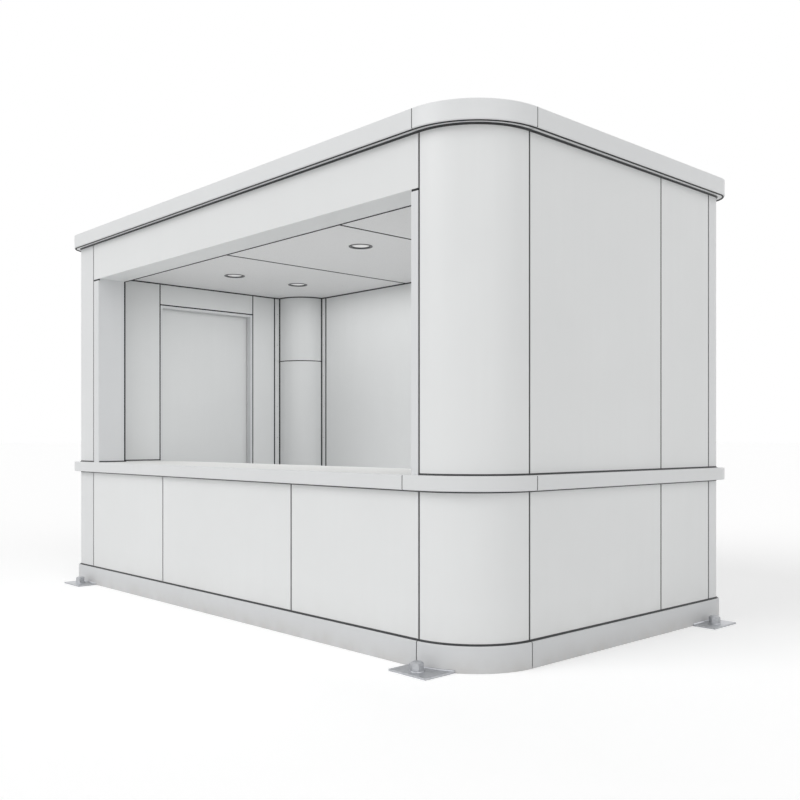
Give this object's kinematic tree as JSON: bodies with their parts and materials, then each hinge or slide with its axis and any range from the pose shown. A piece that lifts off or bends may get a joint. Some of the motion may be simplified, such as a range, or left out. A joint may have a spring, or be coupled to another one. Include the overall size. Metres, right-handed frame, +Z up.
{
  "type": "service booth",
  "caption": "Free-standing one-room service booth with a long serving hatch over a counter, a large round corner, a hinged staff door, a flat capped roof and ground anchor plates.",
  "frame": {"origin": "on the ground at the middle of the footprint", "axes": "+Z up, +X along the long front towards the large round corner, +Y from the serving front to the back wall"},
  "size_m": [4.564, 2.564, 2.7],
  "materials": {
    "panel_coating": "satin off-white coated panel",
    "post_coating": "satin off-white coated corner post",
    "door_coating": "satin off-white coated flush leaf",
    "plinth_steel": "pale grey satin coated steel",
    "rail_trim": "satin pale coated profile",
    "roof_cap_trim": "satin off-white coated fascia",
    "roof_sheet": "matt pale grey roof membrane",
    "galvanised_steel": "hot-dip galvanised",
    "bearer_steel": "grey primer",
    "floor_covering": "matt grey sheet floor",
    "counter_laminate": "satin laminate",
    "bracket_steel": "coated steel",
    "frame_aluminium": "satin coated aluminium",
    "threshold_aluminium": "brushed",
    "handle_steel": "brushed stainless",
    "hinge_steel": "brushed stainless",
    "ceiling_board": "matt white board",
    "light_fitting": "satin anthracite ring round an opal lens",
    "casing_sheet": "satin white sheet"
  },
  "bodies": {
    "booth": {"anchor_bolts": "galvanised_steel", "anchor_plates": "galvanised_steel", "back_panel_centre": "panel_coating", "back_panel_left": "panel_coating", "back_panel_right": "panel_coating", "casing_trims": "casing_sheet", "ceiling_panels": "ceiling_board", "corner_casing": "casing_sheet", "corner_panel": "panel_coating", "corner_posts": "post_coating", "counter_brackets": "bracket_steel", "counter_top": "counter_laminate", "door_head": "frame_aluminium", "door_jambs": "frame_aluminium", "door_threshold": "threshold_aluminium", "downlights": "light_fitting", "floor_bearers": "bearer_steel", "floor_deck": "floor_covering", "front_panel_centre": "panel_coating", "front_panel_left": "panel_coating", "front_panel_right": "panel_coating", "header": "panel_coating", "hinge_frame_halves": "hinge_steel", "left_panels": "panel_coating", "opening_jambs": "frame_aluminium", "over_door_panel": "panel_coating", "plinth_back": "plinth_steel", "plinth_corner": "plinth_steel", "plinth_front": "plinth_steel", "plinth_left": "plinth_steel", "plinth_right": "plinth_steel", "rail_back": "rail_trim", "rail_corner": "rail_trim", "rail_front": "rail_trim", "rail_left": "rail_trim", "rail_right": "rail_trim", "right_panel_front": "panel_coating", "right_panel_rear": "panel_coating", "roof_cap_back": "roof_cap_trim", "roof_cap_corner": "roof_cap_trim", "roof_cap_front": "roof_cap_trim", "roof_cap_left": "roof_cap_trim", "roof_cap_right": "roof_cap_trim", "roof_deck": "roof_sheet"},
    "staff_door": {"door_leaf": "door_coating", "door_handle": "handle_steel", "hinge_leaf_halves": "hinge_steel"}
  },
  "joints": [
    {"name": "staff_door_hinge", "type": "hinge", "parent": "booth", "child": "staff_door", "pos_m": [-2.136, -0.444, 1.2], "axis": [0, 0, 1], "range_deg": [0, 100]}
  ]
}
